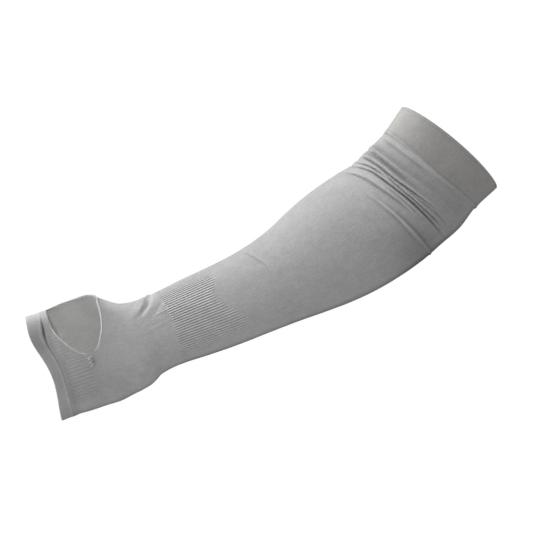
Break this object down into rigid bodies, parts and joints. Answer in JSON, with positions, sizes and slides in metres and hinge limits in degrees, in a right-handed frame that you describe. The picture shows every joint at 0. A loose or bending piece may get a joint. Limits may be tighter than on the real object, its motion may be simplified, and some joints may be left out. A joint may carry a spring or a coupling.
{
  "type": "sun protection arm sleeve",
  "caption": "Knitted sun protection arm sleeve from the palm to above the elbow, with a thumb hole, ribbed wrist and turned hems, in the form it takes on a slightly bent arm.",
  "frame": {"origin": "centre of the upper-arm opening, where the upper hem ends", "axes": "+X from the hand to the upper arm along the straight line between the two openings, +Z towards the thumb side and the inside of the elbow, -Y the front with the point of the thumb hole"},
  "size_m": [0.4036, 0.0968, 0.1216],
  "materials": {
    "sleeve_knit": "fine grey jersey knit, ribbed at the wrist, soft sheen",
    "hem_knit": "double layer of the same grey knit, slightly darker",
    "thread": "pale overlock thread"
  },
  "bodies": {
    "root": {"hand_hem": "hem_knit", "hand_section": "sleeve_knit", "thumb_hole_edging": "thread", "thumb_hole_bar_tack": "thread", "arm_section": "sleeve_knit", "upper_hem": "hem_knit"}
  },
  "joints": []
}
